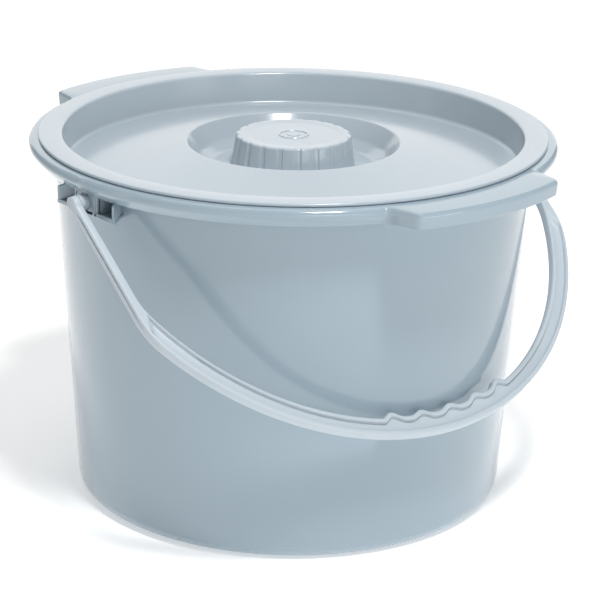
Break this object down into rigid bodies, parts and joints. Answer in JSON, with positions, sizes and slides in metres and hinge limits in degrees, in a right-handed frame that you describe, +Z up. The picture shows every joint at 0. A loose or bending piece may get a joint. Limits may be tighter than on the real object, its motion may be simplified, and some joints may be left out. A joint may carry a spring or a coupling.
{
  "type": "commode pail",
  "caption": "Round toilet pail with two rim ears, a lift-off recessed lid with a grooved knob, and a swinging bail handle with a finger grip.",
  "frame": {"origin": "centre of the pail's flat underside", "axes": "+Z up along the pail's axis; X along the bail's pivot axis; the hanging bail and one ear are at -Y, the other ear is at +Y"},
  "size_m": [0.312, 0.333, 0.211],
  "materials": {
    "pail_plastic": "gloss",
    "lid_plastic": "gloss",
    "bail_plastic": "satin"
  },
  "bodies": {
    "pail": {"pail": "pail_plastic"},
    "lid": {"lid": "lid_plastic"},
    "bail": {"bail": "bail_plastic"}
  },
  "joints": [
    {"name": "lid_lift", "type": "slide", "parent": "pail", "child": "lid", "axis": [0, 0, 1], "range_m": [0, 0.08]},
    {"name": "bail_swing", "type": "hinge", "parent": "pail", "child": "bail", "pos_m": [0, 0, 0.1955], "axis": [-1, 0, 0], "range_deg": [0, 261.2]}
  ]
}
